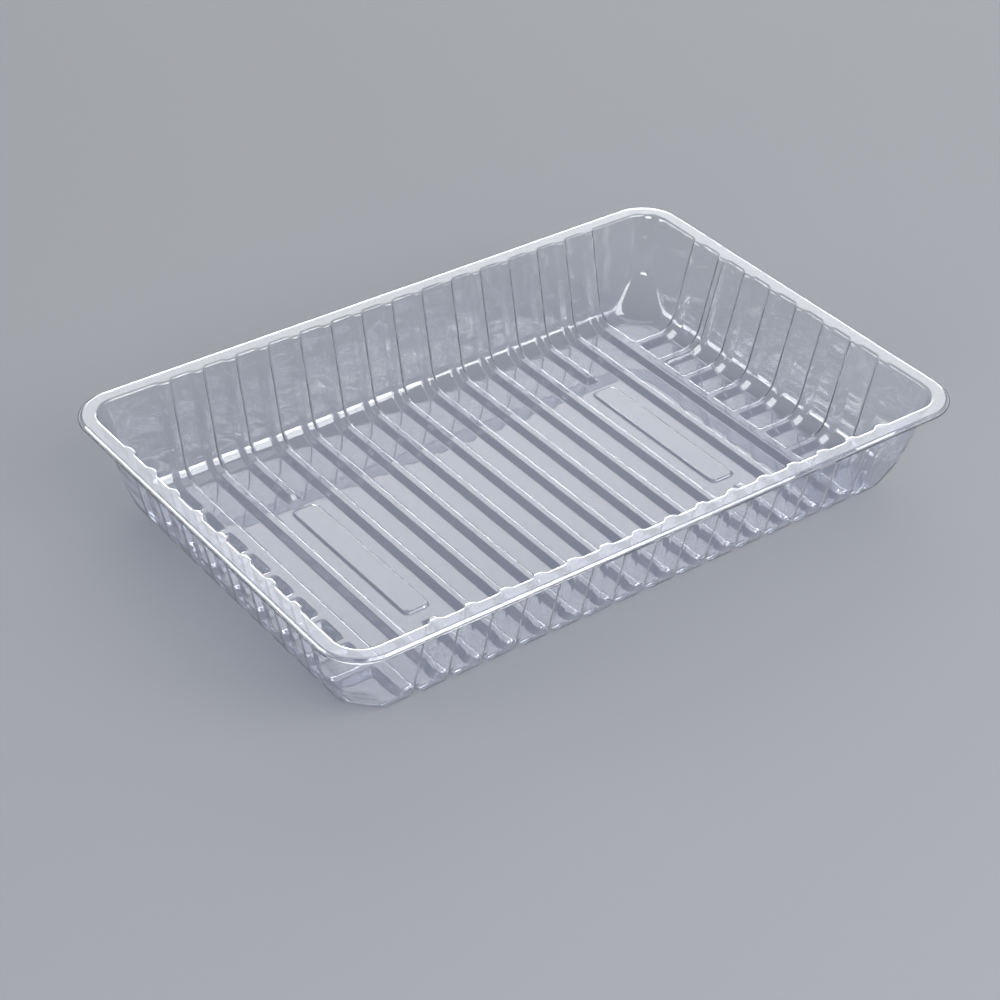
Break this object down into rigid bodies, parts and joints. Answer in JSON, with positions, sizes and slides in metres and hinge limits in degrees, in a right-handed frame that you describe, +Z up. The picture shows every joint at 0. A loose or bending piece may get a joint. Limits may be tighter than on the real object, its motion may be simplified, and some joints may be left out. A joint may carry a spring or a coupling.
{
  "type": "modified atmosphere food tray",
  "caption": "Clear shallow food tray with ribbed walls and floor and a flat flange for a lidding film, drawn in one piece from thin sheet.",
  "frame": {"origin": "middle of the tray on the surface that it stands on", "axes": "+X along the long side, +Y along the short side, +Z up out of the open mouth"},
  "size_m": [0.27, 0.18, 0.04],
  "materials": {
    "clear_sheet": "clear, glossy"
  },
  "bodies": {
    "root": {"tray": "clear_sheet"}
  },
  "joints": []
}
